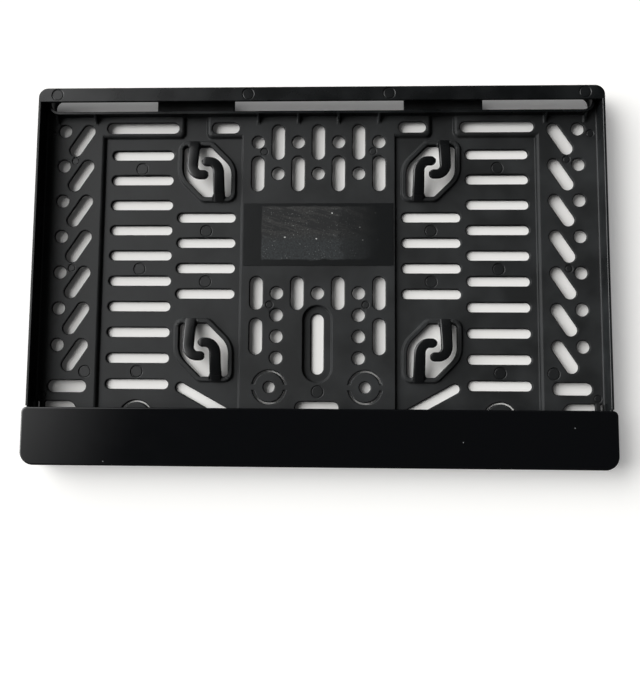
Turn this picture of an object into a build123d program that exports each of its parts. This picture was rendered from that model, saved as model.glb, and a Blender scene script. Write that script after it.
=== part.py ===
"""Number plate holder for a 290 x 170 mm plate: moulded tray, hinged lower strip and a tape patch.

It lies on its back: x runs across the plate, y up the plate and z out of the front.
Lengths are in millimetres and angles in degrees.
"""
import os
from math import acos, degrees

from build123d import *

# Plate pocket and overall form
plate_width = 290.0
plate_side_gap = 2.2
side_wall = 1.4
top_wall = 1.8
overall_height = 198.0
tray_corner_radius = 5.0
tray_foot_radius = 2.0
wall_height = 12.4
lip_width = 7.5
lip_thickness = 1.5

# Floor levels
sunk_floor = 1.6
floor_step = 1.6
step_slope = 1.2
back_rib = 1.6

# Sunk panels between the centre panel and the side columns
centre_panel_width = 81.8
side_column_width = 32.0
sunk_top_drop = 23.6
block_radius = 3.0
notch_inner_x = 60.2
notch_outer_x = 72.0

# Rail and windows under the lip
rail_drop = 12.2
rail_thickness = 1.5
rail_height = 4.0
rail_end_gap = 3.4
lip_window_centre_width = 90.8
lip_window_bridge = 42.0
gusset_length = 4.2
gusset_thickness = 1.2
gusset_column_steps = (1, 3)
gusset_side_insets = (6.2, 27.0)

# Long horizontal slots in the sunk panels
slot_pitch = 13.72
slot_width = 5.0
row_slot_length = 33.1
row_count = 10
row_drop = 32.9
row_inset = 20.4
inner_slot_length = 31.1
inner_slot_count = 4
inner_slot_rows_skipped = 2.5
top_slot_width = 5.7
top_slot_drop = 18.3
top_slot_length = 38.9
short_top_slot_length = 14.5
short_top_slot_x = 50.0

# Slanted slots beside the lower spring windows
slanted_slot_angle = 28.9
slanted_slot_x = 59.3
slanted_slot_drop = 164.8

# Side columns
hole_diameter = 6.6
slot_length = 19.0
column_pitch = 19.36
column_count = 7
column_hole_inset = 9.9
column_hole_drop = 19.8
column_slot_inset = 19.35
column_slot_drop = 25.1
column_slot_angle = 56.8
foot_slot_length = 20.1
foot_slot_width = 6.3
foot_slot_inset = 15.9
foot_slot_drop = 157.7

# Centre panel
grid_pitch = 10.77
upper_row_drop = 26.3
second_row_drop = 43.6
lower_row_drop = 108.1
lower_slot_length = 17.5
ladder_drop = 119.75
ladder_pitch = 11.3
ladder_count = 3
long_slot_length = 31.8
long_slot_width = 6.5
long_slot_drop = 134.9
long_slot_margin = 4.25
long_slot_recess = 1.8

# Knock-out discs
knockout_radius = 8.4
knockout_slit = 0.9
knockout_tab_angle = 24.0
knockout_hole = 5.8
knockout_x = 24.95
knockout_drop = 157.6
foot_knockout_drop = 173.6

# Spring windows with their collars
spring_window_x = 59.8
spring_window_drop = 42.2
spring_window_rows_apart = 7
spring_window_width = 26.0
spring_window_height = 28.0
spring_window_cut = 11.4
spring_window_radius = 2.0
spring_window_soft_radius = 11.0
collar_width = 2.6
collar_rise = 1.4

# Spring hooks
hook_offset = 9.9
hook_arm_width = 5.9
hook_root_inset = 0.6
hook_root_flare = 0.6
hook_curl_width = 4.8
hook_curl_depth = 6.0
hook_curl_reach = 1.8
hook_bend_radius = 7.8
hook_corner_radius = 1.7
hook_thickness = 2.2
hook_rise = 5.7

# Windows for the strip's tongues, and the slits beside the walls
tongue_window_reach = 9.0
centre_window_width = 22.4
centre_window_rise = 3.5
centre_window_radius = 3.0
corner_window_width = 16.5
corner_window_inset = 12.95
corner_window_rise = 3.1
corner_window_radius = 5.0
wall_slit_width = 1.8

# Lower strip
strip_height = 29.4
strip_wall = 1.5
strip_side_gap = 0.25
strip_face = 2.0
strip_top_radius = 2.7
strip_bottom_radius = 7.0
strip_edge_radius = 0.9
strip_lift_gap = 0.3
strip_foot_gap = 0.5
plate_room = 10.9
strip_skirt = 7.6
edge_rib_inset = 4.0
edge_rib_thickness = 1.4
edge_rib_depth = 4.5
edge_rib_end_gap = 1.2
tongue_thickness = 1.5
tongue_foot = 1.2
tongue_side_gap = 2.6
tongue_bead_radius = 0.8
tongue_bead_gap = 0.4

# Hinge between the strip and the tray
hinge_count = 4
hinge_spacing = 70.0
hinge_inset = 4.4
hinge_height = 4.6
hinge_bar_radius = 1.7
hinge_clearance = 0.25
hinge_side_gap = 0.3
knuckle_wall = 1.6
knuckle_length = 9.0
knuckle_mouth = 2.9
lug_thickness = 1.8
lug_radius = 2.2
tray_hinge_gap = 0.55
foot_rib_thickness = 1.6
foot_border = 4.5

# Tape patch
tape_length = 79.2
tape_width = 33.6
tape_thickness = 0.25
tape_drop = 76.7

# Nearness at which an edge or a corner counts as lying on a place
nearness = 0.01

# Places worked out from the sizes above
top_y = overall_height / 2
bottom_y = -overall_height / 2
inner_half = plate_width / 2 + plate_side_gap
outer_half = inner_half + side_wall
raised_floor = sunk_floor + floor_step
pocket_top_y = top_y - top_wall
hinge_y = bottom_y + hinge_inset
knuckle_radius = hinge_bar_radius + hinge_clearance + knuckle_wall
tray_bottom_y = hinge_y + knuckle_radius + tray_hinge_gap
panel_half = centre_panel_width / 2
step_x = inner_half - side_column_width
row_x = step_x - row_inset
strip_top_y = bottom_y + strip_height
strip_half = outer_half + strip_side_gap + strip_wall
strip_back_z = plate_room + strip_lift_gap
strip_front_z = strip_back_z + strip_face
rail_y = top_y - rail_drop
window_low_y = strip_top_y - tongue_window_reach
centre_window_top = strip_top_y + centre_window_rise
corner_window_top = strip_top_y + corner_window_rise
corner_window_x = inner_half - corner_window_inset
through = wall_height + raised_floor


with BuildSketch() as spring_window:
    half_width = spring_window_width / 2
    half_height = spring_window_height / 2
    Polygon(
        (-half_width, half_height),
        (half_width - spring_window_cut, half_height),
        (half_width, half_height - spring_window_cut),
        (half_width, -half_height),
        (spring_window_cut - half_width, -half_height),
        (-half_width, spring_window_cut - half_height),
        align=None,
    )
    soft_corners = spring_window.vertices().filter_by(lambda corner: abs(corner.Y) < half_height - nearness)
    fillet(soft_corners, spring_window_soft_radius)
    hard_corners = spring_window.vertices().filter_by(lambda corner: abs(corner.Y) > half_height - nearness)
    fillet(hard_corners, spring_window_radius)

with BuildSketch() as spring_collar:
    offset(spring_window.sketch, amount=collar_width, kind=Kind.ARC)


# One spring hook of a left-hand window: it starts at the collar's upper side and climbs to its curled tip
collar_top = sunk_floor + collar_rise
hook_root_y = spring_window_height / 2 + collar_width - hook_root_inset
hook_tip_z = collar_top + hook_rise
hook_run = hook_root_y + hook_curl_depth
hook_bow_radius = (hook_run**2 + hook_rise**2) / (2 * hook_rise)
hook_root_angle = degrees(acos(hook_run / hook_bow_radius))

with BuildPart() as spring_hook:
    tip_radius = hook_curl_width / 2
    tip_x = hook_curl_reach - tip_radius
    inner_x = hook_arm_width - hook_offset
    curl_top_y = hook_curl_width - hook_curl_depth
    bend_start = (-hook_offset, hook_bend_radius - hook_curl_depth)
    bend_end = (hook_bend_radius - hook_offset, -hook_curl_depth)
    with BuildSketch() as hook_plan:
        with BuildLine():
            outer_side = Line((-hook_offset, hook_root_y), bend_start)
            bend = RadiusArc(bend_start, bend_end, -hook_bend_radius)
            curl_foot = Line(bend @ 1, (tip_x, -hook_curl_depth))
            tip = RadiusArc(curl_foot @ 1, (tip_x, curl_top_y), -tip_radius)
            curl_head = Line(tip @ 1, (inner_x + hook_corner_radius, curl_top_y))
            corner_end = (inner_x, curl_top_y + hook_corner_radius)
            corner = RadiusArc(curl_head @ 1, corner_end, hook_corner_radius)
            inner_side = Line(corner @ 1, (inner_x + hook_root_flare, hook_root_y))
            Line(inner_side @ 1, outer_side @ 0)
        make_face()
    extrude(amount=hook_tip_z)
    with BuildSketch(Plane.YZ) as hook_bow:
        bow_centre = (-hook_curl_depth, hook_tip_z - hook_bow_radius)
        bow_sweep = 90 - hook_root_angle
        with BuildLine():
            upper = CenterArc(bow_centre, hook_bow_radius, hook_root_angle, bow_sweep)
            lower = CenterArc(bow_centre, hook_bow_radius - hook_thickness, hook_root_angle, bow_sweep)
            Line(upper @ 0, lower @ 0)
            Line(upper @ 1, lower @ 1)
        make_face()
    extrude(amount=hook_offset, both=True, mode=Mode.INTERSECT)

with BuildPart() as hook_pair:
    add(spring_hook.part)
    add(spring_hook.part.rotate(Axis.Z, 180))

with BuildPart() as hook_pair_right:
    mirror(hook_pair.part, about=Plane.YZ)


with BuildSketch() as knockout:
    Circle(knockout_radius + knockout_slit / 2)
    Circle(knockout_radius - knockout_slit / 2, mode=Mode.SUBTRACT)
    tab_height = 2 * knockout_radius * (knockout_tab_angle / 2) / degrees(1)
    Rectangle(4 * knockout_radius, tab_height, mode=Mode.SUBTRACT)
    Circle(knockout_hole / 2)


# Moulded tray
spring_window_ys = [
    top_y - spring_window_drop,
    top_y - spring_window_drop - spring_window_rows_apart * slot_pitch,
]
row_centre_y = top_y - row_drop - slot_pitch * (row_count - 1) / 2
inner_centre_y = top_y - row_drop - slot_pitch * (inner_slot_rows_skipped + (inner_slot_count - 1) / 2)
column_span = column_pitch * (column_count - 1)

with BuildPart() as tray:
    tray_height = top_y - tray_bottom_y
    with BuildSketch() as floor_outline:
        with Locations((0, (top_y + tray_bottom_y) / 2)):
            Rectangle(2 * outer_half, tray_height)
        fillet(floor_outline.vertices().group_by(Axis.Y)[-1], tray_corner_radius)
        fillet(floor_outline.vertices().group_by(Axis.Y)[0], tray_foot_radius)
    extrude(amount=raised_floor)

    # Sunk panels, open upwards between the two raised blocks
    with BuildSketch(Plane.XY.offset(sunk_floor)) as sunk_panels:
        sunk_top_y = top_y - sunk_top_drop
        sunk_low_y = tray_bottom_y + foot_border
        Polygon(
            (-step_x, sunk_low_y),
            (-step_x, sunk_top_y),
            (-notch_outer_x, sunk_top_y),
            (-notch_outer_x, rail_y),
            (-notch_inner_x, rail_y),
            (-notch_inner_x, sunk_top_y),
            (-panel_half, sunk_top_y),
            (-panel_half, sunk_low_y),
            align=None,
        )
        block_corners = sunk_panels.vertices().filter_by(
            lambda corner: abs(corner.Y - sunk_top_y) < nearness
            and notch_inner_x - nearness < -corner.X < notch_outer_x + nearness
        )
        fillet(block_corners, block_radius)
        mirror(about=Plane.YZ)
    extrude(amount=floor_step, mode=Mode.SUBTRACT)
    step_edges = tray.edges().filter_by(
        lambda edge: abs(edge.center().Z - raised_floor) < nearness
        and sunk_low_y + nearness < edge.center().Y < rail_y - nearness
        and notch_inner_x - block_radius < abs(edge.center().X) < step_x + nearness
    )
    chamfer(step_edges, step_slope)

    # Hollows at the back, so that the raised panels are no thicker than the sunk ones
    with BuildSketch() as back_hollows:
        with Locations((0, (sunk_low_y + pocket_top_y) / 2)):
            Rectangle(2 * inner_half, pocket_top_y - sunk_low_y)
        offset(sunk_panels.sketch, amount=back_rib, kind=Kind.ARC, mode=Mode.SUBTRACT)
        with Locations((0, top_y - long_slot_drop)):
            SlotOverall(
                long_slot_length + 2 * (long_slot_margin + back_rib),
                long_slot_width + 2 * (long_slot_margin + back_rib),
                rotation=90,
                mode=Mode.SUBTRACT,
            )
    extrude(amount=floor_step, mode=Mode.SUBTRACT)

    # Collars of the spring windows
    with BuildSketch() as collars:
        for window_y in spring_window_ys:
            with Locations((-spring_window_x, window_y)):
                add(spring_collar.sketch)
        mirror(about=Plane.YZ)
    extrude(amount=collar_top)

    # Side walls and top wall, with the lip over the plate's upper edge
    with BuildSketch() as walls:
        add(floor_outline.sketch)
        with BuildSketch(mode=Mode.PRIVATE) as pocket:
            with Locations((0, (pocket_top_y + tray_bottom_y) / 2)):
                Rectangle(2 * inner_half, pocket_top_y - tray_bottom_y)
            fillet(pocket.vertices().group_by(Axis.Y)[-1], tray_corner_radius - side_wall)
        add(pocket.sketch, mode=Mode.SUBTRACT)
    extrude(amount=wall_height)
    with BuildSketch(Plane.XY.offset(wall_height - lip_thickness)) as lip:
        add(floor_outline.sketch)
        with Locations((0, top_y - lip_width)):
            Rectangle(2 * outer_half, tray_height, align=(Align.CENTER, Align.MAX), mode=Mode.SUBTRACT)
    extrude(amount=lip_thickness)

    # Rail round the windows under the lip, braced by gussets
    rail_half = inner_half - rail_end_gap
    window_low = rail_y + rail_thickness
    with BuildSketch(mode=Mode.PRIVATE) as lip_opening:
        with Locations((0, (window_low + pocket_top_y) / 2)):
            SlotOverall(2 * rail_half, pocket_top_y - window_low)
    with BuildSketch() as rail:
        offset(lip_opening.sketch, amount=rail_thickness)
        add(lip_opening.sketch, mode=Mode.SUBTRACT)
    extrude(amount=raised_floor + rail_height)
    gusset_xs = [step * grid_pitch for step in gusset_column_steps]
    gusset_xs += [inner_half - inset for inset in gusset_side_insets]
    for gusset_x in gusset_xs + [-gusset_x for gusset_x in gusset_xs]:
        with BuildSketch(Plane.YZ.offset(gusset_x)):
            Polygon(
                (rail_y, raised_floor),
                (rail_y, raised_floor + rail_height),
                (rail_y - gusset_length, raised_floor),
                align=None,
            )
        extrude(amount=gusset_thickness / 2, both=True)

    # Foot rib with the hinge lugs and bars
    with Locations((0, tray_bottom_y, 0)):
        Box(
            2 * inner_half,
            foot_rib_thickness,
            hinge_height + lug_radius,
            align=(Align.CENTER, Align.MIN, Align.MIN),
        )
    lug_offset = (knuckle_length + lug_thickness) / 2 + hinge_side_gap
    hinge_xs = [hinge_spacing * (index - (hinge_count - 1) / 2) for index in range(hinge_count)]
    for hinge_x in hinge_xs:
        for lug_x in (hinge_x - lug_offset, hinge_x + lug_offset):
            with BuildSketch(Plane.YZ.offset(lug_x)):
                with Locations((hinge_y, hinge_height)):
                    Circle(lug_radius)
                    Rectangle(tray_bottom_y - hinge_y, 2 * lug_radius, align=(Align.MIN, Align.CENTER))
            extrude(amount=lug_thickness / 2, both=True)
        with Locations((hinge_x, hinge_y, hinge_height)):
            Cylinder(hinge_bar_radius, 2 * lug_offset, rotation=(0, 90, 0))

    # Room for the strip over the lower ends of the side walls
    with Locations((0, strip_top_y + strip_foot_gap, plate_room)):
        Box(
            2 * strip_half,
            strip_height,
            wall_height,
            align=(Align.CENTER, Align.MAX, Align.MIN),
            mode=Mode.SUBTRACT,
        )

    # Recess round the centre panel's long slot
    with BuildSketch(Plane.XY.offset(raised_floor)) as long_recess:
        with Locations((0, top_y - long_slot_drop)):
            SlotOverall(
                long_slot_length + 2 * long_slot_margin,
                long_slot_width + 2 * long_slot_margin,
                rotation=90,
            )
    extrude(amount=-long_slot_recess, mode=Mode.SUBTRACT)

    # Holes of the left half, mirrored to the right
    with BuildSketch() as side_holes:
        with Locations((-row_x, row_centre_y)):
            with GridLocations(0, slot_pitch, 1, row_count):
                SlotOverall(row_slot_length, slot_width)
        with Locations((-spring_window_x, inner_centre_y)):
            with GridLocations(0, slot_pitch, 1, inner_slot_count):
                SlotOverall(inner_slot_length, slot_width)
        with Locations((-row_x, top_y - top_slot_drop)):
            SlotOverall(top_slot_length, top_slot_width)
        with Locations((-short_top_slot_x, top_y - top_slot_drop)):
            SlotOverall(short_top_slot_length, top_slot_width)
        with Locations((-slanted_slot_x, top_y - slanted_slot_drop)):
            SlotOverall(row_slot_length, slot_width, rotation=-slanted_slot_angle)
        with Locations((column_hole_inset - inner_half, top_y - column_hole_drop - column_span / 2)):
            with GridLocations(0, column_pitch, 1, column_count):
                Circle(hole_diameter / 2)
        with Locations((column_slot_inset - inner_half, top_y - column_slot_drop - column_span / 2)):
            with GridLocations(0, column_pitch, 1, column_count):
                SlotOverall(slot_length, hole_diameter, rotation=column_slot_angle)
        with Locations((foot_slot_inset - inner_half, top_y - foot_slot_drop)):
            SlotOverall(foot_slot_length, foot_slot_width)
        for window_y in spring_window_ys:
            with Locations((-spring_window_x, window_y)):
                add(spring_window.sketch)
        with Locations((-knockout_x, top_y - knockout_drop), (-row_x, top_y - foot_knockout_drop)):
            add(knockout.sketch)
        for column in (1, 3):
            with Locations((-column * grid_pitch, top_y - upper_row_drop)):
                Circle(hole_diameter / 2)
            with Locations((-column * grid_pitch, top_y - second_row_drop)):
                SlotOverall(slot_length, hole_diameter, rotation=90)
            with Locations((-column * grid_pitch, top_y - lower_row_drop)):
                SlotOverall(lower_slot_length, hole_diameter, rotation=90)
        ladder_centre_y = top_y - ladder_drop - ladder_pitch * (ladder_count - 1) / 2
        with Locations((-3 * grid_pitch, ladder_centre_y)):
            SlotOverall(slot_length, hole_diameter, rotation=90)
        with Locations((-2 * grid_pitch, ladder_centre_y)):
            with GridLocations(0, ladder_pitch, 1, ladder_count):
                Circle(hole_diameter / 2)
        with Locations((-2 * grid_pitch, top_y - upper_row_drop)):
            SlotOverall(slot_length, hole_diameter, rotation=90)
        for round_row_drop in (second_row_drop, lower_row_drop):
            with Locations((-2 * grid_pitch, top_y - round_row_drop)):
                Circle(hole_diameter / 2)
        mirror(about=Plane.YZ)
    extrude(amount=through, mode=Mode.SUBTRACT)

    # Holes on the middle line
    with BuildSketch() as middle_holes:
        with Locations((0, top_y - upper_row_drop)):
            SlotOverall(slot_length, hole_diameter, rotation=90)
        with Locations((0, top_y - second_row_drop), (0, top_y - lower_row_drop)):
            Circle(hole_diameter / 2)
        with Locations((0, top_y - long_slot_drop)):
            SlotOverall(long_slot_length, long_slot_width, rotation=90)
    extrude(amount=through, mode=Mode.SUBTRACT)

    # Windows under the lip, parted by two bridges
    with BuildSketch() as lip_windows:
        add(lip_opening.sketch)
        for side in (-1, 1):
            with Locations((side * (lip_window_centre_width + lip_window_bridge) / 2, rail_y)):
                Rectangle(lip_window_bridge, 2 * rail_drop, mode=Mode.SUBTRACT)
    extrude(amount=raised_floor, mode=Mode.SUBTRACT)

    # Windows for the strip's tongues and slits beside the side walls
    with BuildSketch() as tongue_windows:
        centre_window_height = centre_window_top - window_low_y
        corner_window_height = corner_window_top - window_low_y
        with BuildSketch(mode=Mode.PRIVATE) as centre_window:
            with Locations((0, window_low_y)):
                Rectangle(centre_window_width, centre_window_height, align=(Align.CENTER, Align.MIN))
            fillet(centre_window.vertices().group_by(Axis.Y)[-1], centre_window_radius)
        with BuildSketch(mode=Mode.PRIVATE) as corner_window:
            with Locations((-corner_window_x, window_low_y)):
                Rectangle(corner_window_width, corner_window_height, align=(Align.CENTER, Align.MIN))
            fillet(corner_window.vertices().group_by(Axis.Y)[-1].sort_by(Axis.X)[-1], corner_window_radius)
        with BuildSketch(mode=Mode.PRIVATE) as wall_slit:
            with Locations((-inner_half, window_low_y)):
                Rectangle(wall_slit_width, corner_window_height, align=(Align.MIN, Align.MIN))
        add(corner_window.sketch)
        add(wall_slit.sketch)
        mirror(about=Plane.YZ)
        add(centre_window.sketch)
    extrude(amount=raised_floor, mode=Mode.SUBTRACT)

    # Spring hooks, two in each window
    for window_y in spring_window_ys:
        with Locations((-spring_window_x, window_y)):
            add(hook_pair.part)
        with Locations((spring_window_x, window_y)):
            add(hook_pair_right.part)
tray.part.label = "base_tray"


# Glossy strip: a shallow channel over the tray's foot, open towards the plate
with BuildPart() as strip:
    skirt_z = strip_front_z - strip_face - strip_skirt
    with BuildSketch(Plane.XY.offset(skirt_z)) as strip_outline:
        with Locations((0, (strip_top_y + bottom_y) / 2)):
            Rectangle(2 * strip_half, strip_height)
        fillet(strip_outline.vertices().group_by(Axis.Y)[-1], strip_top_radius)
        fillet(strip_outline.vertices().group_by(Axis.Y)[0], strip_bottom_radius)
    extrude(amount=strip_face + strip_skirt)
    fillet(strip.faces().sort_by(Axis.Z)[-1].edges(), strip_edge_radius)
    with BuildSketch(Plane.XY.offset(skirt_z)) as strip_hollow:
        with Locations((0, bottom_y + strip_wall)):
            Rectangle(2 * (strip_half - strip_wall), strip_height, align=(Align.CENTER, Align.MIN))
        fillet(strip_hollow.vertices().group_by(Axis.Y)[0], strip_bottom_radius - strip_wall)
    extrude(amount=strip_skirt, mode=Mode.SUBTRACT)

    # Rib that stops the plate's lower edge
    with Locations((0, strip_top_y - edge_rib_inset, strip_back_z)):
        Box(
            2 * (inner_half - edge_rib_end_gap),
            edge_rib_thickness,
            edge_rib_depth,
            align=(Align.CENTER, Align.MAX, Align.MAX),
        )

    # Tongues that plug into the tray's lower windows, each with a bead near its foot
    tongue_y = window_low_y + tongue_bead_gap + tongue_bead_radius
    centre_tongue = (0, centre_window_width - 2 * tongue_side_gap)
    corner_tongue_width = corner_window_width - 2 * tongue_side_gap
    corner_tongues = [(side * corner_window_x, corner_tongue_width) for side in (-1, 1)]
    for tongue_x, tongue_width in [centre_tongue] + corner_tongues:
        with Locations((tongue_x, tongue_y, tongue_foot)):
            Box(
                tongue_width,
                tongue_thickness,
                strip_back_z - tongue_foot,
                align=(Align.CENTER, Align.MIN, Align.MIN),
            )
        with Locations((tongue_x, tongue_y, tongue_foot + tongue_bead_radius)):
            Cylinder(tongue_bead_radius, tongue_width, rotation=(0, 90, 0))

    # Snap-on knuckles round the tray's hinge bars
    for hinge_x in hinge_xs:
        with BuildSketch(Plane.YZ.offset(hinge_x)):
            with Locations((hinge_y, hinge_height)):
                Circle(knuckle_radius)
                Rectangle(hinge_inset - strip_wall / 2, 2 * knuckle_wall, align=(Align.MAX, Align.CENTER))
                Circle(hinge_bar_radius + hinge_clearance, mode=Mode.SUBTRACT)
                Rectangle(
                    2 * knuckle_radius,
                    knuckle_mouth,
                    align=(Align.MIN, Align.CENTER),
                    mode=Mode.SUBTRACT,
                )
        extrude(amount=knuckle_length / 2, both=True)
strip.part.label = "lower_strip"


# Tape stuck across the centre panel
with BuildPart() as tape:
    with Locations((0, top_y - tape_drop, raised_floor)):
        Box(tape_length, tape_width, tape_thickness, align=(Align.CENTER, Align.CENTER, Align.MIN))
tape.part.label = "adhesive_tape"


os.makedirs("parts", exist_ok=True)
export_step(tray.part, "parts/base_tray.step")
export_step(strip.part, "parts/lower_strip.step")
export_step(tape.part, "parts/adhesive_tape.step")
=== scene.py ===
import math
import bmesh
import bpy
from mathutils import Matrix, Vector, noise


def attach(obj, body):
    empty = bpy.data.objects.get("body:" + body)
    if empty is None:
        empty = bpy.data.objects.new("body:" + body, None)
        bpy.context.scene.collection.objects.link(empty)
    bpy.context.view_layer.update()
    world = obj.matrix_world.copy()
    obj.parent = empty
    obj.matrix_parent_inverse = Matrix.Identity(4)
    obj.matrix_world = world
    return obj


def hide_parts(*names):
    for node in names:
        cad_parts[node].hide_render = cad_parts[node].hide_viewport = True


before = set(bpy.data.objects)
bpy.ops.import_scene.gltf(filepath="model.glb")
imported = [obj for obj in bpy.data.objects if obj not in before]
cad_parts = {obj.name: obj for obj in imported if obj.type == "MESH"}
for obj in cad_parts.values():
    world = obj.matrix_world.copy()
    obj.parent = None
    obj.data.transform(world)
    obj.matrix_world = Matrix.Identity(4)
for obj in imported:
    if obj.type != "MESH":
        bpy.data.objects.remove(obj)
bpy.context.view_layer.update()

mm = 0.001                     # the frame is in metres
sharpEdge = math.radians(35)   # edges that turn more than this are rounded
softEdge = math.radians(40)    # and those that turn less than this are shaded smooth
weldGap = 0.002 * mm
print("frame: nodes", sorted(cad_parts))


def linear(hexColour):  # sRGB hex to the linear colour a socket takes
    parts = [int(hexColour[i:i + 2], 16) / 255 for i in (1, 3, 5)]
    return [p / 12.92 if p <= 0.04045 else ((p + 0.055) / 1.055) ** 2.4 for p in parts] + [1.0]


def addNode(tree, kind, settings=None, sockets=None, links=None):
    node = tree.nodes.new(kind)
    for name, value in (settings or {}).items():
        setattr(node, name, value)
    for name, value in (sockets or {}).items():
        node.inputs[name].default_value = value
    for name, source in (links or {}).items():
        tree.links.new(source, node.inputs[name])
    return node


def newMaterial(name):
    material = bpy.data.materials.new(name)
    material.use_nodes = True
    material.node_tree.nodes.clear()
    return material, material.node_tree


def pickOnly(piece):
    bpy.ops.object.select_all(action="DESELECT")
    piece.select_set(True)
    bpy.context.view_layer.objects.active = piece


def applyModifiers(piece):
    pickOnly(piece)
    for modifier in list(piece.modifiers):
        bpy.ops.object.modifier_apply(modifier=modifier.name)


def weld(piece):
    pickOnly(piece)
    bpy.ops.object.mode_set(mode="EDIT")
    bpy.ops.mesh.select_all(action="SELECT")
    bpy.ops.mesh.remove_doubles(threshold=weldGap)
    bpy.ops.object.mode_set(mode="OBJECT")


def mergedCopy(nodeName, pieceName):  # a copy of a moulding's mesh, welded
    piece = bpy.data.objects.new(pieceName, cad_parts[nodeName].data.copy())
    bpy.context.scene.collection.objects.link(piece)
    piece.data.materials.clear()
    pickOnly(piece)
    bpy.ops.mesh.customdata_custom_splitnormals_clear()
    weld(piece)
    return piece


def roundEdges(piece, shape, weightOf):  # each sharp edge takes its own share of the radius
    form = bmesh.new()
    form.from_mesh(piece.data)
    weights = form.edges.layers.float.new("bevel_weight_edge")
    for edge in form.edges:
        if edge.is_manifold and edge.calc_face_angle() > sharpEdge:
            edge[weights] = weightOf(edge)
    form.to_mesh(piece.data)
    form.free()
    bevel = piece.modifiers.new("edges", "BEVEL")
    bevel.width = shape["edgeRadius"]
    bevel.segments = shape["edgeSegments"]
    bevel.profile = shape["edgeProfile"]
    bevel.limit_method = "WEIGHT"
    bevel.use_clamp_overlap = False
    bevel.face_strength_mode = "FSTR_ALL"
    bevel.loop_slide = False
    applyModifiers(piece)


def evenShading(piece):  # flat faces keep one shade, only the rounded edges turn
    pickOnly(piece)
    bpy.ops.object.shade_smooth_by_angle(angle=softEdge)
    normals = piece.modifiers.new("normals", "WEIGHTED_NORMAL")
    normals.keep_sharp = True
    normals.use_face_influence = True
    applyModifiers(piece)


def dress(piece, material, body, nodeName):
    piece.data.materials.clear()
    piece.data.materials.append(material)
    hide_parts(nodeName)
    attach(piece, body)
    print(piece.name, "faces", len(piece.data.polygons))


# Tray: satin black polypropylene, moulded in a finely eroded tool
trayLook = {
    "plastic": "#0f1112",
    "plasticWorn": "#262829",
    "roughness": 0.62,        # the eroded panels
    "smoothRoughness": 0.26,  # hooks, walls and lip come from smoother parts of the tool
    "smoothFrom": 3.4 * mm,
    "smoothFull": 5.0 * mm,
    "drawnRoughness": 1.0,    # steep faces of holes and steps, dragged over the tool as it opened
    "drawnBelow": 3.3 * mm,
    "polished": "#0e0f10",    # faces marked polish: hooks, and the marks of polished ejector pins
    "polishedRoughness": 0.25,
    "ior": 1.49,              # polypropylene
    "mottleSize": 22 * mm,    # flow marks of the moulding, paler and duller between these noise levels
    "mottleFrom": 0.38,
    "mottleFull": 0.7,
    "mottleDull": 0.1,        # roughness that they add
    "steepFrom": 0.92,        # a face counts as steep from this upward share of its normal
    "steepFull": 0.4,
    "grainSize": 0.5 * mm,    # the tool's grain is about 0.1 mm, drawn coarser so that it shows
    "grainDepth": 0.012 * mm,
}


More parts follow.
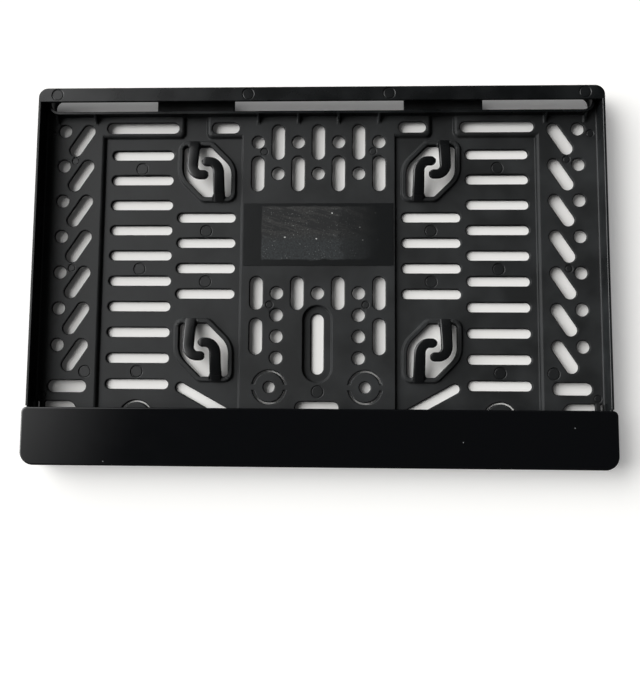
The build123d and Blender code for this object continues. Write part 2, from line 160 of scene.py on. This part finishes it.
# Dull and even black on the panels, with a soft shine on hooks, walls and lip
def satinPolypropylene(look):
    material, tree = newMaterial("satinPolypropylene")
    place = addNode(tree, "ShaderNodeTexCoord").outputs["Object"]
    mottle = addNode(tree, "ShaderNodeTexNoise", sockets={"Scale": 1 / look["mottleSize"], "Detail": 5.0},
                     links={"Vector": place})
    grain = addNode(tree, "ShaderNodeTexNoise", sockets={"Scale": 1 / look["grainSize"], "Detail": 2.0},
                    links={"Vector": place})
    flow = addNode(tree, "ShaderNodeMapRange",
                   sockets={"From Min": look["mottleFrom"], "From Max": look["mottleFull"]},
                   links={"Value": mottle.outputs["Fac"]})
    colour = addNode(tree, "ShaderNodeMix", {"data_type": "RGBA"},
                     {"A": linear(look["plastic"]), "B": linear(look["plasticWorn"])},
                     {"Factor": flow.outputs["Result"]})
    height = addNode(tree, "ShaderNodeSeparateXYZ", links={"Vector": place})
    finish = addNode(tree, "ShaderNodeMapRange",
                     sockets={"From Min": look["smoothFrom"], "From Max": look["smoothFull"],
                              "To Min": look["roughness"], "To Max": look["smoothRoughness"]},
                     links={"Value": height.outputs["Z"]})
    gloss = addNode(tree, "ShaderNodeMath", {"operation": "MULTIPLY_ADD"}, {1: look["mottleDull"]},
                    {0: flow.outputs["Result"], 2: finish.outputs["Result"]})
    facing = addNode(tree, "ShaderNodeSeparateXYZ",
                     links={"Vector": addNode(tree, "ShaderNodeNewGeometry").outputs["Normal"]})
    steep = addNode(tree, "ShaderNodeMapRange",
                    sockets={"From Min": look["steepFrom"], "From Max": look["steepFull"]},
                    links={"Value": facing.outputs["Z"]})
    lowDown = addNode(tree, "ShaderNodeMath", {"operation": "LESS_THAN"}, {1: look["drawnBelow"]},
                      {0: height.outputs["Z"]})
    drawn = addNode(tree, "ShaderNodeMath", {"operation": "MULTIPLY"},
                    links={0: steep.outputs["Result"], 1: lowDown.outputs["Value"]})
    eroded = addNode(tree, "ShaderNodeMix", sockets={"B": look["drawnRoughness"]},
                     links={"Factor": drawn.outputs["Value"], "A": gloss.outputs["Value"]})
    polish = addNode(tree, "ShaderNodeAttribute", {"attribute_name": "polish"})
    rough = addNode(tree, "ShaderNodeMix", sockets={"B": look["polishedRoughness"]},
                    links={"Factor": polish.outputs["Fac"], "A": eroded.outputs["Result"]})
    tone = addNode(tree, "ShaderNodeMix", {"data_type": "RGBA"}, {"B": linear(look["polished"])},
                   {"Factor": polish.outputs["Fac"], "A": colour.outputs["Result"]})
    bump = addNode(tree, "ShaderNodeBump", sockets={"Strength": 1.0, "Distance": look["grainDepth"]},
                   links={"Height": grain.outputs["Fac"]})
    shader = addNode(tree, "ShaderNodeBsdfPrincipled", sockets={"IOR": look["ior"]},
                     links={"Base Color": tone.outputs["Result"], "Roughness": rough.outputs["Result"],
                            "Normal": bump.outputs["Normal"]})
    addNode(tree, "ShaderNodeOutputMaterial", links={"Surface": shader.outputs["BSDF"]})
    return material


trayShape = {
    "edgeRadius": 0.65 * mm,     # round the upper edges of holes and panels
    "edgeSegments": 3,
    "edgeProfile": 0.32,         # flatter than a round, as the photo's dark rims are
    "plainShare": 0.42,          # of the radius, on walls, ribs and gussets
    "panelTop": 3.25 * mm,
    "sharpBelow": 0.5 * mm,      # the edges of the back stay sharp
    "pinRadius": 3.0 * mm,       # ejector pin marks, to the middle of the groove round each
    "smallPinRadius": 1.8 * mm,
    "lipPinRadius": 2.9 * mm,
    "pinDepth": 0.2 * mm,
    "pinSides": 40,
    "grooveRadius": 0.5 * mm,    # of the groove's round section
    "grooveLift": 0.05 * mm,     # its centre stands above the face
    "grooveSides": 16,
    "pinPolish": 0.4,
    "sunkFloor": 1.6 * mm,
    "raisedFloor": 3.2 * mm,
    "lipTop": 12.4 * mm,
    "sunkPins": [(95.0, 58.6), (95.0, 4.0), (95.0, -50.7), (59.7, 24.5), (59.7, -2.8)],
    "raisedPins": [(122.0, -51.0)],
    "middlePins": [(0.3, -60.9)],
    "smallPins": [(131.0, 62.6), (131.0, 4.1), (143.7, 76.7), (144.0, -63.6), (29.0, 67.4), (25.3, -15.3)],
    "lipPins": [(138.4, 95.3), (37.0, 95.2)],
}


def pinSpots(shape):
    levels = [
        (shape["sunkPins"], shape["pinRadius"], shape["sunkFloor"]),
        (shape["raisedPins"], shape["pinRadius"], shape["raisedFloor"]),
        (shape["smallPins"], shape["smallPinRadius"], shape["raisedFloor"]),
        (shape["lipPins"], shape["lipPinRadius"], shape["lipTop"]),
    ]
    spots = [(Vector((side * x * mm, y * mm, z)), radius) for pins, radius, z in levels
             for x, y in pins for side in (-1, 1)]
    return spots + [(Vector((x * mm, y * mm, shape["raisedFloor"])), shape["pinRadius"])
                    for x, y in shape["middlePins"]]


def joined(pieces):
    bpy.ops.object.select_all(action="DESELECT")
    for piece in pieces:
        piece.select_set(True)
    bpy.context.view_layer.objects.active = pieces[0]
    bpy.ops.object.join()
    bpy.ops.object.transform_apply(location=True, rotation=True, scale=True)
    return pieces[0]


def cutAway(piece, cutters):
    tool = joined(cutters)
    cut = piece.modifiers.new("cut", "BOOLEAN")
    cut.operation = "DIFFERENCE"
    cut.object = tool
    applyModifiers(piece)
    bpy.data.objects.remove(tool)


def pinCutters(spots, shape):
    cutters = []
    for place, radius in spots:
        bpy.ops.mesh.primitive_cylinder_add(
            vertices=shape["pinSides"], radius=radius, depth=2 * shape["pinDepth"], location=place)
        cutters.append(bpy.context.object)
    return cutters


def grooveCutters(spots, shape):
    cutters = []
    for place, radius in spots:
        bpy.ops.mesh.primitive_torus_add(
            major_segments=shape["pinSides"], minor_segments=shape["grooveSides"],
            major_radius=radius, minor_radius=shape["grooveRadius"],
            location=place + Vector((0, 0, shape["grooveLift"])))
        cutters.append(bpy.context.object)
    return cutters


# Spring hooks: swept along their bow, well rounded at the edges and the tip; lengths in millimetres
hookShape = {
    "windows": [(-59.8, 56.8), (-59.8, -39.24), (59.8, 56.8), (59.8, -39.24)],
    "width": 5.9,
    "thickness": 2.5,
    "cornerRadius": 1.0,
    "cornerSteps": 5,
    "armX": -6.95,
    "rootY": 16.0,
    "rootShare": 1.06,           # of the section, where the arm leaves the collar
    "bendCentre": (-2.1, 1.8),
    "bendReach": (4.85, 5.35),
    "tipX": 1.75,
    "tipShare": 0.82,            # the curl is narrower than the arm
    "endShare": 0.06,            # what is left of the section at the very end
    "bowFoot": (16.0, 3.0),
    "bowTop": (-6.0, 8.7),
    "polish": 0.85,
    "softEdge": math.radians(60),
    "armSteps": 12,
    "bendSteps": 14,
    "tipSteps": 8,
    "roomSize": (31.0, 33.0, 16.3),   # cleared in each window before the hooks go in
    "roomMiddle": 11.2,
}


def bowHeight(shape, y):  # height of the hook's upper face, an arc that is level at the tip
    footY, footZ = shape["bowFoot"]
    topY, topZ = shape["bowTop"]
    run, rise = footY - topY, topZ - footZ
    radius = (run ** 2 + rise ** 2) / (2 * rise)
    return topZ - radius + math.sqrt(radius ** 2 - (y - topY) ** 2)


def hookPath(shape):  # points (x, y, z, share of the full section) from root to tip
    centreX, centreY = shape["bendCentre"]
    reachX, reachY = shape["bendReach"]
    low = centreY - reachY
    tipHalf = shape["width"] * shape["tipShare"] / 2
    rootY, rootShare = shape["rootY"], shape["rootShare"]
    flat = []
    for step in range(shape["armSteps"]):
        along = step / shape["armSteps"]
        share = rootShare + (1 - rootShare) * along
        flat.append((shape["armX"], rootY + (centreY - rootY) * along, share))
    for step in range(shape["bendSteps"]):
        along = step / shape["bendSteps"]
        turn = math.radians(180 + 90 * along)
        share = 1 + (shape["tipShare"] - 1) * along
        flat.append((centreX + reachX * math.cos(turn), centreY + reachY * math.sin(turn), share))
    for step in range(shape["tipSteps"] + 1):
        turn = math.radians(90 * step / shape["tipSteps"])
        share = shape["tipShare"] * max(math.cos(turn), shape["endShare"])
        flat.append((shape["tipX"] - tipHalf * (1 - math.sin(turn)), low, share))
    return [(x, y, bowHeight(shape, y) - shape["thickness"] * share / 2, share) for x, y, share in flat]


def hookSection(shape):  # rounded oblong that is swept along the path
    section = bpy.data.curves.new("hookSection", "CURVE")
    halfWidth, halfHeight, radius = shape["width"] / 2, shape["thickness"] / 2, shape["cornerRadius"]
    ring = []
    for quarter, (sideX, sideY) in enumerate([(1, 1), (-1, 1), (-1, -1), (1, -1)]):
        for step in range(shape["cornerSteps"]):
            turn = math.radians(90 * quarter + 90 * step / (shape["cornerSteps"] - 1))
            ring.append((sideX * (halfWidth - radius) + radius * math.cos(turn),
                         sideY * (halfHeight - radius) + radius * math.sin(turn)))
    spline = section.splines.new("POLY")
    spline.points.add(len(ring) - 1)
    for point, (x, y) in zip(spline.points, ring):
        point.co = (x * mm, y * mm, 0, 1)
    spline.use_cyclic_u = True
    profile = bpy.data.objects.new("hookSection", section)
    bpy.context.scene.collection.objects.link(profile)
    return profile


def sweptHooks(shape):
    profile = hookSection(shape)
    path = hookPath(shape)
    hooks = []
    for windowX, windowY in shape["windows"]:
        mirror = -1 if windowX > 0 else 1
        for turn in (-1, 1):
            data = bpy.data.curves.new("hook", "CURVE")
            data.dimensions = "3D"
            data.twist_mode = "Z_UP"
            data.bevel_mode = "OBJECT"
            data.bevel_object = profile
            data.use_fill_caps = True
            spline = data.splines.new("POLY")
            spline.points.add(len(path) - 1)
            for point, (x, y, z, share) in zip(spline.points, path):
                point.co = ((windowX + mirror * turn * x) * mm, (windowY + turn * y) * mm, z * mm, 1)
                point.radius = share
            hook = bpy.data.objects.new("hook", data)
            bpy.context.scene.collection.objects.link(hook)
            pickOnly(hook)
            bpy.ops.object.convert(target="MESH")
            hooks.append(bpy.context.object)
    bpy.data.objects.remove(profile)
    return hooks


def windowCutters(shape):  # blocks that clear the windows for the swept hooks
    cutters = []
    for windowX, windowY in shape["windows"]:
        place = Vector((windowX, windowY, shape["roomMiddle"])) * mm
        bpy.ops.mesh.primitive_cube_add(size=1, location=place)
        cutter = bpy.context.object
        cutter.scale = Vector(shape["roomSize"]) * mm
        cutters.append(cutter)
    return cutters


def evenTriangles(piece):  # fewer long thin triangles on the flats
    pickOnly(piece)
    bpy.ops.object.mode_set(mode="EDIT")
    bpy.ops.mesh.select_all(action="SELECT")
    bpy.ops.mesh.quads_convert_to_tris()
    bpy.ops.mesh.beautify_fill(angle_limit=math.radians(1))
    bpy.ops.object.mode_set(mode="OBJECT")


def markPolished(piece, share, isPolished):
    marks = piece.data.attributes.new("polish", "FLOAT", "FACE")
    corners = [isPolished(vertex.co) for vertex in piece.data.vertices]
    for face in piece.data.polygons:
        marks.data[face.index].value = share if all(corners[index] for index in face.vertices) else 0.0


def makeTray(shape, look):
    tray = mergedCopy("base_tray", "moulded_tray")
    evenTriangles(tray)
    spots = pinSpots(shape)
    cutAway(tray, windowCutters(hookShape))
    cutAway(tray, pinCutters(spots, shape))
    cutAway(tray, grooveCutters(spots, shape))
    evenTriangles(tray)

    def onPin(point):
        return any((point - place).length < radius + shape["grooveRadius"] for place, radius in spots)

    def weightOf(edge):
        middle = (edge.verts[0].co + edge.verts[1].co) / 2
        if middle.z < shape["sharpBelow"] or onPin(middle):
            return 0.0
        return 1.0 if middle.z < shape["panelTop"] else shape["plainShare"]

    roundEdges(tray, shape, weightOf)
    weld(tray)
    evenShading(tray)
    markPolished(tray, shape["pinPolish"], onPin)
    hooks = joined(sweptHooks(hookShape))
    pickOnly(hooks)
    bpy.ops.object.shade_smooth_by_angle(angle=hookShape["softEdge"])
    markPolished(hooks, hookShape["polish"], lambda point: True)
    tray = joined([tray, hooks])
    dress(tray, satinPolypropylene(look), "base", "base_tray")


makeTray(trayShape, trayLook)


# Strip: polished black ABS
stripLook = {
    "plastic": "#0a0b0d",
    "roughness": 0.07,
    "ior": 1.54,              # ABS
    "waveSize": 30 * mm,      # slight sink waves of the moulding, seen in its reflections
    "waveDepth": 0.004 * mm,
    "smudgeSize": 14 * mm,    # smudges, a little duller between these noise levels
    "smudgeFrom": 0.35,
    "smudgeFull": 0.75,
    "smudgeDull": 0.05,       # roughness that they add
    "dust": "#7d8080",
    "dustCell": 26 * mm,      # at most one speck in each
    "dustShare": 0.3,
    "dustCore": 0.008,        # of the cell, and where the speck's edge ends
    "dustEdge": 0.014,
}


# Deep black with clear reflections, and a few specks of dust on it
def polishedAbs(look):
    material, tree = newMaterial("polishedAbs")
    place = addNode(tree, "ShaderNodeTexCoord").outputs["Object"]
    wave = addNode(tree, "ShaderNodeTexNoise", sockets={"Scale": 1 / look["waveSize"], "Detail": 1.0},
                   links={"Vector": place})
    smudge = addNode(tree, "ShaderNodeTexNoise", sockets={"Scale": 1 / look["smudgeSize"], "Detail": 5.0},
                     links={"Vector": place})
    gloss = addNode(tree, "ShaderNodeMapRange",
                    sockets={"From Min": look["smudgeFrom"], "From Max": look["smudgeFull"],
                             "To Min": look["roughness"], "To Max": look["roughness"] + look["smudgeDull"]},
                    links={"Value": smudge.outputs["Fac"]})
    bump = addNode(tree, "ShaderNodeBump", sockets={"Strength": 1.0, "Distance": look["waveDepth"]},
                   links={"Height": wave.outputs["Fac"]})
    cells = addNode(tree, "ShaderNodeTexVoronoi", {"voronoi_dimensions": "2D"},
                    {"Scale": 1 / look["dustCell"]}, {"Vector": place})
    chance = addNode(tree, "ShaderNodeSeparateColor", links={"Color": cells.outputs["Color"]})
    chosen = addNode(tree, "ShaderNodeMath", {"operation": "GREATER_THAN"}, {1: 1 - look["dustShare"]},
                     {0: chance.outputs["Red"]})
    speck = addNode(tree, "ShaderNodeMapRange",
                    sockets={"From Min": look["dustCore"], "From Max": look["dustEdge"],
                             "To Min": 1.0, "To Max": 0.0},
                    links={"Value": cells.outputs["Distance"]})
    dust = addNode(tree, "ShaderNodeMath", {"operation": "MULTIPLY"},
                   links={0: speck.outputs["Result"], 1: chosen.outputs["Value"]})
    colour = addNode(tree, "ShaderNodeMix", {"data_type": "RGBA"},
                     {"A": linear(look["plastic"]), "B": linear(look["dust"])},
                     {"Factor": dust.outputs["Value"]})
    shader = addNode(tree, "ShaderNodeBsdfPrincipled", sockets={"IOR": look["ior"]},
                     links={"Base Color": colour.outputs["Result"], "Roughness": gloss.outputs["Result"],
                            "Normal": bump.outputs["Normal"]})
    addNode(tree, "ShaderNodeOutputMaterial", links={"Surface": shader.outputs["BSDF"]})
    return material


stripShape = {
    "edgeRadius": 0.25 * mm,
    "edgeSegments": 2,
    "edgeProfile": 0.5,
}


def makeStrip(shape, look):
    strip = mergedCopy("lower_strip", "gloss_strip")
    roundEdges(strip, shape, lambda edge: 1.0)
    evenShading(strip)
    dress(strip, polishedAbs(look), "strip", "lower_strip")


makeStrip(stripShape, stripLook)


# Tape: black film tape, scuffed where something stuck to it was pulled off
tapeLook = {
    "film": "#0f1112",
    "filmRoughness": 0.36,
    "ior": 1.5,                       # plasticised PVC film
    "rippleSize": 7.0 * mm,
    "rippleDepth": 0.05 * mm,
    "scuffedHigh": "#2d2d2c",         # where it was scraped as well
    "scuffedLow": "#262b2d",
    "scuffedRoughness": 0.7,
    "scuffSides": (-29.8, 12.0, 8.8, 37.2),   # left, right, low and high, in millimetres
    "scuffEdge": 0.5 * mm,
    "scuffWander": 2.4 * mm,          # how far the scuff's outline strays
    "wanderSize": 4.0 * mm,
    "rightFray": 14.0 * mm,           # how far the scuff's right side strays
    "faintRun": 22.0 * mm,            # past it the scuff is faint, and fades out over this length
    "faintShare": 0.4,
    "scrapedFrom": (17.0, 24.0),      # scrapes come in between these heights, in millimetres
    "streakSize": 2.0 * mm,
    "streakLength": 8.0,              # times its width
    "streakTurn": math.radians(-16),
    "streakLevels": (0.46, 0.53),     # noise levels where a streak starts and is full
    "speckleSize": 0.9 * mm,
    "speckleLevels": (0.34, 0.66),
    "speckleShares": (0.2, 1.2),      # of the scuff, between its speckles and on them
    "grains": "#8a8c8c",
    "grainSize": 0.7 * mm,
    "grainLevels": (0.64, 0.78, 0.0),   # start, full, and the share before the start
    "grainPatch": 9.0 * mm,
    "patchLevels": (0.4, 0.6, 0.1),
    "fluff": "#c4c5c3",
    "fluffCell": 8.0 * mm,
    "fluffReach": (0.06, 0.03, 0.0),    # of the cell
    "fluffChance": (0.7, 0.72, 0.0),
}


# Softly shining black, grey and dull where it was scuffed, with grains and fluff in the scuff
def scuffedFilm(look):
    material, tree = newMaterial("scuffedFilm")
    place = addNode(tree, "ShaderNodeTexCoord").outputs["Object"]
    soft, multiply = {"interpolation_type": "SMOOTHSTEP"}, {"operation": "MULTIPLY"}
    wander = addNode(tree, "ShaderNodeTexNoise", sockets={"Scale": 1 / look["wanderSize"], "Detail": 6.0},
                     links={"Vector": place})
    centred = addNode(tree, "ShaderNodeVectorMath", {"operation": "SUBTRACT"}, {1: (0.5, 0.5, 0.5)},
                      {0: wander.outputs["Color"]})
    stray = addNode(tree, "ShaderNodeVectorMath", {"operation": "SCALE"}, {"Scale": look["scuffWander"]},
                    {0: centred.outputs["Vector"]})
    strayed = addNode(tree, "ShaderNodeVectorMath", {"operation": "ADD"},
                      links={0: place, 1: stray.outputs["Vector"]})
    across = addNode(tree, "ShaderNodeSeparateXYZ", links={"Vector": strayed.outputs["Vector"]})
    patches = addNode(tree, "ShaderNodeTexNoise", sockets={"Scale": 1 / look["grainPatch"], "Detail": 5.0},
                      links={"Vector": place})
    fray = addNode(tree, "ShaderNodeMath", {"operation": "MULTIPLY_ADD"}, {1: look["rightFray"]},
                   {0: patches.outputs["Fac"], 2: across.outputs["X"]})
    left, right, low, high = [side * mm for side in look["scuffSides"]]
    edge = look["scuffEdge"]
    frayed = right + look["rightFray"] / 2
    sides = [  # value, outside, inside, how much is left outside
        (across.outputs["X"], left - edge, left + edge, 0.0),
        (across.outputs["Y"], low - edge, low + edge, 0.0),
        (across.outputs["Y"], high + edge, high - edge, 0.0),
        (fray.outputs["Value"], frayed + 2 * edge, frayed - 2 * edge, look["faintShare"]),
        (fray.outputs["Value"], frayed + look["faintRun"], frayed, 0.0),
    ]
    scuff = None
    for value, outside, inside, rest in sides:
        side = addNode(tree, "ShaderNodeMapRange", soft,
                       {"From Min": outside, "From Max": inside, "To Min": rest}, {"Value": value})
        scuff = side.outputs["Result"] if scuff is None else addNode(
            tree, "ShaderNodeMath", multiply, links={0: scuff, 1: side.outputs["Result"]}).outputs["Value"]

    turned = addNode(tree, "ShaderNodeMapping", {"vector_type": "TEXTURE"},
                     {"Rotation": (0, 0, look["streakTurn"]), "Scale": (look["streakLength"], 1.0, 1.0)},
                     {"Vector": place})
    streak = addNode(tree, "ShaderNodeTexNoise", sockets={"Scale": 1 / look["streakSize"], "Detail": 3.0},
                     links={"Vector": turned.outputs["Vector"]})
    streakStart, streakFull = look["streakLevels"]
    streaks = addNode(tree, "ShaderNodeMapRange", soft, {"From Min": streakStart, "From Max": streakFull},
                      {"Value": streak.outputs["Fac"]})
    speckle = addNode(tree, "ShaderNodeTexNoise", sockets={"Scale": 1 / look["speckleSize"], "Detail": 4.0},
                      links={"Vector": place})
    speckleStart, speckleFull = look["speckleLevels"]
    between, onSpeckles = look["speckleShares"]
    speckles = addNode(tree, "ShaderNodeMapRange", soft,
                       {"From Min": speckleStart, "From Max": speckleFull,
                        "To Min": between, "To Max": onSpeckles},
                       {"Value": speckle.outputs["Fac"]})
    scrapedLow, scrapedHigh = [height * mm for height in look["scrapedFrom"]]
    scraped = addNode(tree, "ShaderNodeMapRange", soft, {"From Min": scrapedLow, "From Max": scrapedHigh},
                      {"Value": across.outputs["Y"]})
    scrapes = addNode(tree, "ShaderNodeMix", sockets={"A": 1.0},
                      links={"Factor": scraped.outputs["Result"], "B": streaks.outputs["Result"]})
    worn = addNode(tree, "ShaderNodeMath", multiply,
                   links={0: scrapes.outputs["Result"], 1: speckles.outputs["Result"]})
    shown = addNode(tree, "ShaderNodeMath", multiply, links={0: scuff, 1: worn.outputs["Value"]})
    tone = addNode(tree, "ShaderNodeMix", {"data_type": "RGBA"},
                   {"A": linear(look["scuffedLow"]), "B": linear(look["scuffedHigh"])},
                   {"Factor": scraped.outputs["Result"]})
    colour = addNode(tree, "ShaderNodeMix", {"data_type": "RGBA"}, {"A": linear(look["film"])},
                     {"Factor": shown.outputs["Value"], "B": tone.outputs["Result"]})

    dots = addNode(tree, "ShaderNodeTexNoise", sockets={"Scale": 1 / look["grainSize"], "Detail": 1.0},
                   links={"Vector": place})
    cells = addNode(tree, "ShaderNodeTexVoronoi", {"voronoi_dimensions": "2D"},
                    {"Scale": 1 / look["fluffCell"]}, {"Vector": strayed.outputs["Vector"]})
    chance = addNode(tree, "ShaderNodeSeparateColor", links={"Color": cells.outputs["Color"]})
    flecks = {  # for each, two values whose ramps are multiplied
        "grains": [(dots.outputs["Fac"], "grainLevels"), (patches.outputs["Fac"], "patchLevels")],
        "fluff": [(cells.outputs["Distance"], "fluffReach"), (chance.outputs["Red"], "fluffChance")],
    }
    for name, ramps in flecks.items():
        share = scuff
        for value, levels in ramps:
            start, full, rest = look[levels]
            mask = addNode(tree, "ShaderNodeMapRange", soft,
                           {"From Min": start, "From Max": full, "To Min": rest}, {"Value": value})
            share = addNode(tree, "ShaderNodeMath", multiply,
                            links={0: share, 1: mask.outputs["Result"]}).outputs["Value"]
        colour = addNode(tree, "ShaderNodeMix", {"data_type": "RGBA"}, {"B": linear(look[name])},
                         {"Factor": share, "A": colour.outputs["Result"]})
    gloss = addNode(tree, "ShaderNodeMapRange",
                    sockets={"To Min": look["filmRoughness"], "To Max": look["scuffedRoughness"]},
                    links={"Value": scuff})
    ripple = addNode(tree, "ShaderNodeTexNoise", sockets={"Scale": 1 / look["rippleSize"], "Detail": 2.0},
                     links={"Vector": place})
    bump = addNode(tree, "ShaderNodeBump", sockets={"Strength": 1.0, "Distance": look["rippleDepth"]},
                   links={"Height": ripple.outputs["Fac"]})
    shader = addNode(tree, "ShaderNodeBsdfPrincipled", sockets={"IOR": look["ior"]},
                     links={"Base Color": colour.outputs["Result"], "Roughness": gloss.outputs["Result"],
                            "Normal": bump.outputs["Normal"]})
    addNode(tree, "ShaderNodeOutputMaterial", links={"Surface": shader.outputs["BSDF"]})
    return material


tapeShape = {
    "cutCount": 40,
    "ragged": 0.28 * mm,       # hand-torn ends and slightly stretched sides
    "raggedSize": 2.5 * mm,
}


def makeTape(shape, look):
    tape = mergedCopy("adhesive_tape", "tape_patch")
    bpy.ops.object.mode_set(mode="EDIT")
    bpy.ops.mesh.select_all(action="SELECT")
    bpy.ops.mesh.tris_convert_to_quads()
    bpy.ops.mesh.subdivide(number_cuts=shape["cutCount"])
    bpy.ops.object.mode_set(mode="OBJECT")
    lowX, highX = min(v.co.x for v in tape.data.vertices), max(v.co.x for v in tape.data.vertices)
    lowY, highY = min(v.co.y for v in tape.data.vertices), max(v.co.y for v in tape.data.vertices)
    for vertex in tape.data.vertices:
        spot = vertex.co.copy()
        spot.z = 0
        shift = noise.noise(spot / shape["raggedSize"]) * shape["ragged"]
        if spot.x in (lowX, highX):
            vertex.co.x -= math.copysign(abs(shift), spot.x)
        if spot.y in (lowY, highY):
            vertex.co.y -= math.copysign(abs(shift), spot.y - (lowY + highY) / 2)
    evenShading(tape)
    dress(tape, scuffedFilm(look), "base", "adhesive_tape")


makeTape(tapeShape, tapeLook)


# Camera: above the lower half, looking down and a little up the plate
cameraSet = {
    "place": Vector((12.08, -69.52, 355.94)) * mm,
    "target": Vector((1.51, -39.1, 3.2)) * mm,
    "rollDegrees": -0.42,
    "focalPixels": 680,
    "framePixels": 700,          # the frame's long side
    "clipStart": 10 * mm,
}


def makeCamera(values):
    data = bpy.data.cameras.new("camera")
    data.lens = values["focalPixels"] * data.sensor_width / values["framePixels"]
    data.clip_start = values["clipStart"]
    camera = bpy.data.objects.new("camera", data)
    bpy.context.scene.collection.objects.link(camera)
    forward = (values["target"] - values["place"]).normalized()
    levelRight = forward.cross(Vector((0, 1, 0))).normalized()
    levelUp = levelRight.cross(forward)
    roll = math.radians(values["rollDegrees"])
    right = levelRight * math.cos(roll) - levelUp * math.sin(roll)
    up = levelUp * math.cos(roll) + levelRight * math.sin(roll)
    turned = Matrix((right, up, -forward)).transposed().to_4x4()
    camera.matrix_world = Matrix.Translation(values["place"]) @ turned
    bpy.context.scene.camera = camera


makeCamera(cameraSet)


# Studio: white table, a wide soft light on the left, dark overhead and on the viewer's side
studio = {
    "tableSize": 6.0,
    "table": "#faf9f6",                        # paper that the tray lies on, as the camera sees it
    "tableBounce": "#3a3a38",                  # and as it lights the tray from below
    "paintedHoleLight": 0.02,                          # painted light: a faint glow that lifts the shaded paper seen through the holes
    "tableGlow": 0.28,                         # lifts the paper to white round the tray
    "glowFrom": (146 * mm, 88 * mm),           # under the tray's edge, and below the lip at the top, where the rising glow is painted light on the shaded paper in the lip windows
    "glowFull": (151 * mm, 101 * mm),
    "brightSide": Vector((-0.985, 0.175, 0.0)),
    "brightFrom": 0.268,
    "brightFull": 1.02,
    "bright": 9.0,
    "endFrom": -0.4,                           # the bright side ends towards the viewer
    "endFull": 0.05,
    "sillFrom": 0.05,                          # and comes in between these heights
    "sillFull": 0.45,
    "sill": 0.35,
    "dark": 0.025,
    "ringFrom": 0.85,                          # the room is a little brighter low down, all round
    "ringFull": 0.5,
    "ring": 0.03,
}


# Matt white paper, which lights the tray less than the camera sees of it, and glows: painted light on the
# paper under the tray, and a white floor round it
def paleTable(values):
    material, tree = newMaterial("paleTable")
    seen = addNode(tree, "ShaderNodeLightPath")
    shade = addNode(tree, "ShaderNodeMix", {"data_type": "RGBA"},
                    {"A": linear(values["tableBounce"]), "B": linear(values["table"])},
                    {"Factor": seen.outputs["Is Camera Ray"]})
    paper = addNode(tree, "ShaderNodeBsdfDiffuse", links={"Color": shade.outputs["Result"]})
    direct = addNode(tree, "ShaderNodeMath", {"operation": "MAXIMUM"},
                     links={0: seen.outputs["Is Camera Ray"], 1: seen.outputs["Is Glossy Ray"]})
    place = addNode(tree, "ShaderNodeTexCoord").outputs["Object"]
    spread = addNode(tree, "ShaderNodeVectorMath", {"operation": "ABSOLUTE"}, links={0: place})
    sides = addNode(tree, "ShaderNodeSeparateXYZ", links={"Vector": spread.outputs["Vector"]})
    reach = [addNode(tree, "ShaderNodeMapRange", {"interpolation_type": "SMOOTHSTEP"},
                     {"From Min": low, "From Max": high,
                      "To Min": values["paintedHoleLight"], "To Max": values["tableGlow"]},
                     {"Value": sides.outputs[axis]})
             for axis, low, high in zip("XY", values["glowFrom"], values["glowFull"])]
    outside = addNode(tree, "ShaderNodeMath", {"operation": "MAXIMUM"},
                      links={0: reach[0].outputs["Result"], 1: reach[1].outputs["Result"]})
    strength = addNode(tree, "ShaderNodeMath", {"operation": "MULTIPLY"},
                       links={0: direct.outputs["Value"], 1: outside.outputs["Value"]})
    # glow for the camera and reflections: painted light on the paper under the tray, faint in the holes and
    # rising in the lip windows; round the tray it makes the floor white
    glow = addNode(tree, "ShaderNodeEmission", links={"Strength": strength.outputs["Value"]})
    both = addNode(tree, "ShaderNodeAddShader", links={0: paper.outputs["BSDF"], 1: glow.outputs["Emission"]})
    addNode(tree, "ShaderNodeOutputMaterial", links={"Surface": both.outputs["Shader"]})
    return material


def makeTable(values):
    bpy.ops.object.select_all(action="DESELECT")
    bpy.ops.mesh.primitive_plane_add(size=values["tableSize"], location=(0, 0, 0))
    table = bpy.context.object
    table.name = "table"
    table.data.materials.append(paleTable(values))


def makeRoom(values):
    world = bpy.data.worlds.new("room")
    bpy.context.scene.world = world
    world.use_nodes = True
    tree = world.node_tree
    tree.nodes.clear()
    direction = addNode(tree, "ShaderNodeTexCoord").outputs["Generated"]
    lean = addNode(tree, "ShaderNodeVectorMath", {"operation": "DOT_PRODUCT"}, {1: values["brightSide"]},
                   {0: direction})
    across = addNode(tree, "ShaderNodeSeparateXYZ", links={"Vector": direction})
    dark = values["dark"]
    ramps = [  # value, start, stop, level at the start, level at the stop
        (lean.outputs["Value"], values["brightFrom"], values["brightFull"], 0.0, values["bright"]),
        (across.outputs["Y"], values["endFrom"], values["endFull"], 0.0, 1.0),
        (across.outputs["Z"], values["sillFrom"], values["sillFull"], values["sill"], 1.0),
        (across.outputs["Z"], values["ringFull"], values["ringFrom"], dark + values["ring"], dark),
    ]
    window, end, sill, ring = [
        addNode(tree, "ShaderNodeMapRange", {"interpolation_type": "SMOOTHSTEP"},
                {"From Min": start, "From Max": stop, "To Min": first, "To Max": last}, {"Value": value})
        for value, start, stop, first, last in ramps]
    ended = addNode(tree, "ShaderNodeMath", {"operation": "MULTIPLY"},
                    links={0: window.outputs["Result"], 1: end.outputs["Result"]})
    light = addNode(tree, "ShaderNodeMath", {"operation": "MULTIPLY_ADD"},
                    links={0: ended.outputs["Value"], 1: sill.outputs["Result"], 2: ring.outputs["Result"]})
    seen = addNode(tree, "ShaderNodeLightPath")
    strength = addNode(tree, "ShaderNodeMix", sockets={"B": 1.0},
                       links={"Factor": seen.outputs["Is Camera Ray"], "A": light.outputs["Value"]})
    background = addNode(tree, "ShaderNodeBackground", sockets={"Color": (1, 1, 1, 1)},
                         links={"Strength": strength.outputs["Result"]})
    addNode(tree, "ShaderNodeOutputWorld", links={"Surface": background.outputs["Background"]})


makeTable(studio)
makeRoom(studio)
bpy.context.scene.view_settings.view_transform = "Standard"
print("studio ready")
